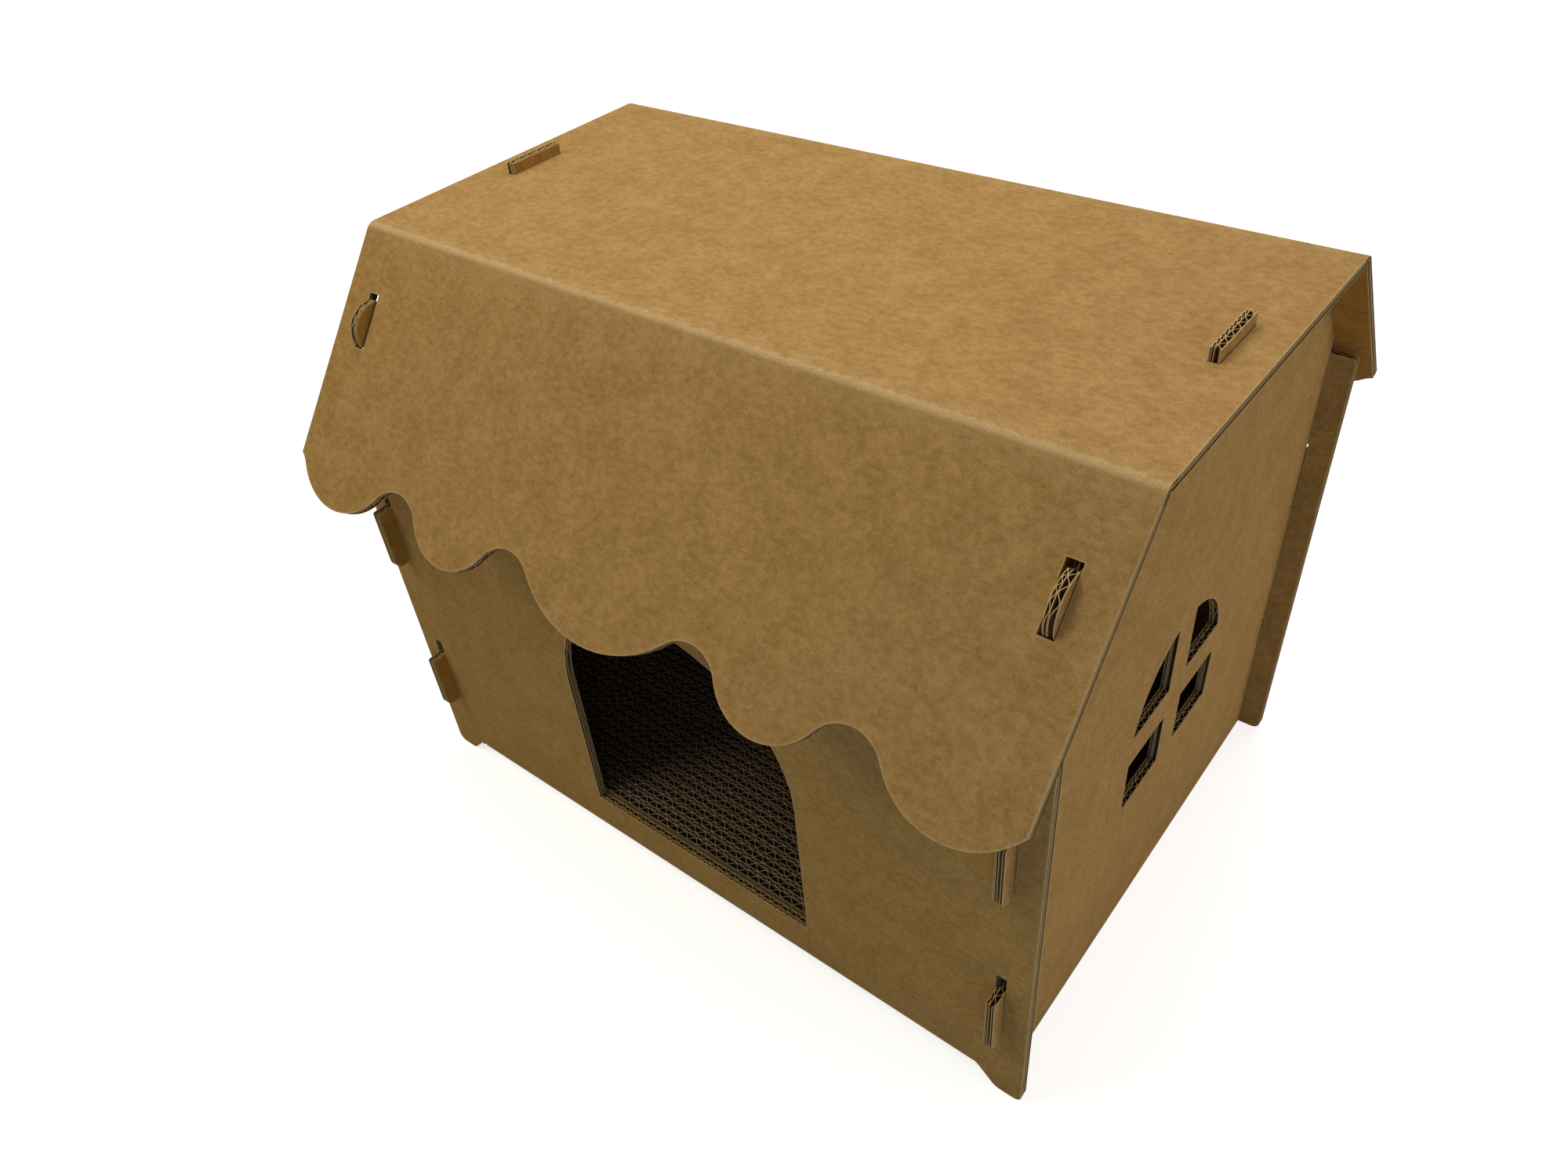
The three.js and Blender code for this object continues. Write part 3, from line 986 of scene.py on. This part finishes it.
class CATHOUSE_OT_stage(bpy.types.Operator):
    """Sets up the pale floor, the studio light and the camera"""

    bl_idname = "cathouse.stage"
    bl_label = "Floor, Light and Camera"

    def execute(self, context):
        studio = context.scene.cat_house_studio
        self.add_floor(studio)
        self.add_surroundings(studio)
        self.add_lamp("overhead_light", OVERHEAD_LAMP, studio.overhead_power, WHITE)
        self.add_lamp("rear_light", REAR_LAMP, studio.rear_power, WHITE)
        self.add_lamp("right_light", RIGHT_LAMP, studio.right_power, studio.right_tint)
        self.add_lamp("front_light", FRONT_LAMP, studio.front_power, studio.front_tint)
        self.add_lamp("fill_light", FILL_LAMP, studio.fill_power, studio.fill_tint)
        self.add_camera(studio)
        context.scene.view_settings.view_transform = "Standard"
        return {"FINISHED"}

    def add_floor(self, studio):
        clear_selection()
        bpy.ops.mesh.primitive_plane_add(size=FLOOR_SIZE, location=(0, 0, 0))
        floor = bpy.context.object
        floor.name = "floor"
        nodes = Nodes("white_floor")
        nodes.set(base_color=FLOOR_COLOUR, roughness=CUT_ROUGHNESS, emission_color=(*WHITE, 1))
        length = nodes.add("ShaderNodeVectorMath", operation="LENGTH")
        nodes.wire(nodes.place, length.inputs[0])
        glow = nodes.ramp(length.outputs["Value"], GLOW_REACH, studio.floor_glow, 1)
        glow = nodes.maths("MULTIPLY", shown_directly(nodes.tree), glow)
        nodes.wire(glow, nodes.shader.inputs["Emission Strength"])
        dress(floor, nodes.material)

    def add_surroundings(self, studio):
        world = bpy.data.worlds.new("studio")
        bpy.context.scene.world = world
        world.use_nodes = True
        tree = world.node_tree
        backdrop = tree.nodes["Background"]
        shown = shown_directly(tree)
        strength = tree.nodes.new("ShaderNodeMapRange")
        strength.inputs["To Min"].default_value = studio.surroundings
        strength.inputs["To Max"].default_value = 1.0
        tree.links.new(shown, strength.inputs["Value"])
        tree.links.new(strength.outputs["Result"], backdrop.inputs["Strength"])
        colour = tree.nodes.new("ShaderNodeMix")
        colour.data_type = "RGBA"
        colour.inputs["A"].default_value = (*studio.surroundings_tint, 1)
        colour.inputs["B"].default_value = (*WHITE, 1)
        tree.links.new(shown, colour.inputs["Factor"])
        tree.links.new(colour.outputs["Result"], backdrop.inputs["Color"])

    def add_lamp(self, name, place_and_size, power, tint):
        place, size = place_and_size
        clear_selection()
        bpy.ops.object.light_add(type="AREA", location=place)
        lamp = bpy.context.object
        lamp.name = name
        lamp.data.shape = "SQUARE"
        lamp.data.size = size
        lamp.data.energy = power
        lamp.data.color = tint
        middle = Vector((0, 0, CREASE_HEIGHT / 2))
        lamp.rotation_euler = (middle - Vector(place)).to_track_quat("-Z", "Y").to_euler()

    def add_camera(self, studio):
        clear_selection()
        bpy.ops.object.camera_add(location=studio.camera_place)
        camera = bpy.context.object
        camera.name = "camera"
        camera.data.sensor_width = SENSOR_WIDTH
        camera.data.lens = studio.lens
        ahead = Vector(studio.camera_aim).normalized()
        right = Vector(studio.camera_right).normalized()
        camera.rotation_euler = Matrix((right, right.cross(ahead), -ahead)).transposed().to_euler()
        bpy.context.scene.camera = camera


class CATHOUSE_PT_sidebar(bpy.types.Panel):
    bl_label = "Cat House"
    bl_idname = "CATHOUSE_PT_sidebar"
    bl_space_type = "VIEW_3D"
    bl_region_type = "UI"
    bl_category = "Cat House"

    def draw(self, context):
        scene = context.scene
        for group in (scene.cat_house_board, scene.cat_house_finish, scene.cat_house_studio):
            box = self.layout.box()
            for key in group.__annotations__:
                box.prop(group, key)
        for operator in OPERATORS:
            self.layout.operator(operator.bl_idname)


OPERATORS = (
    CATHOUSE_OT_papers,
    CATHOUSE_OT_end_panels,
    CATHOUSE_OT_side_panels,
    CATHOUSE_OT_roof,
    CATHOUSE_OT_creases,
    CATHOUSE_OT_pad,
    CATHOUSE_OT_stage,
)
CLASSES = (BoardProperties, FinishProperties, StudioProperties, *OPERATORS, CATHOUSE_PT_sidebar)


def register():
    for item in CLASSES:
        bpy.utils.register_class(item)
    bpy.types.Scene.cat_house_board = PointerProperty(type=BoardProperties)
    bpy.types.Scene.cat_house_finish = PointerProperty(type=FinishProperties)
    bpy.types.Scene.cat_house_studio = PointerProperty(type=StudioProperties)


def unregister():
    del bpy.types.Scene.cat_house_studio
    del bpy.types.Scene.cat_house_finish
    del bpy.types.Scene.cat_house_board
    for item in reversed(CLASSES):
        bpy.utils.unregister_class(item)


def main():
    register()
    bpy.ops.cathouse.papers()
    bpy.ops.cathouse.end_panels()
    bpy.ops.cathouse.side_panels()
    bpy.ops.cathouse.roof()
    bpy.ops.cathouse.creases()
    bpy.ops.cathouse.pad()
    bpy.ops.cathouse.stage()
    clear_selection()


if __name__ == "__main__":
    main()
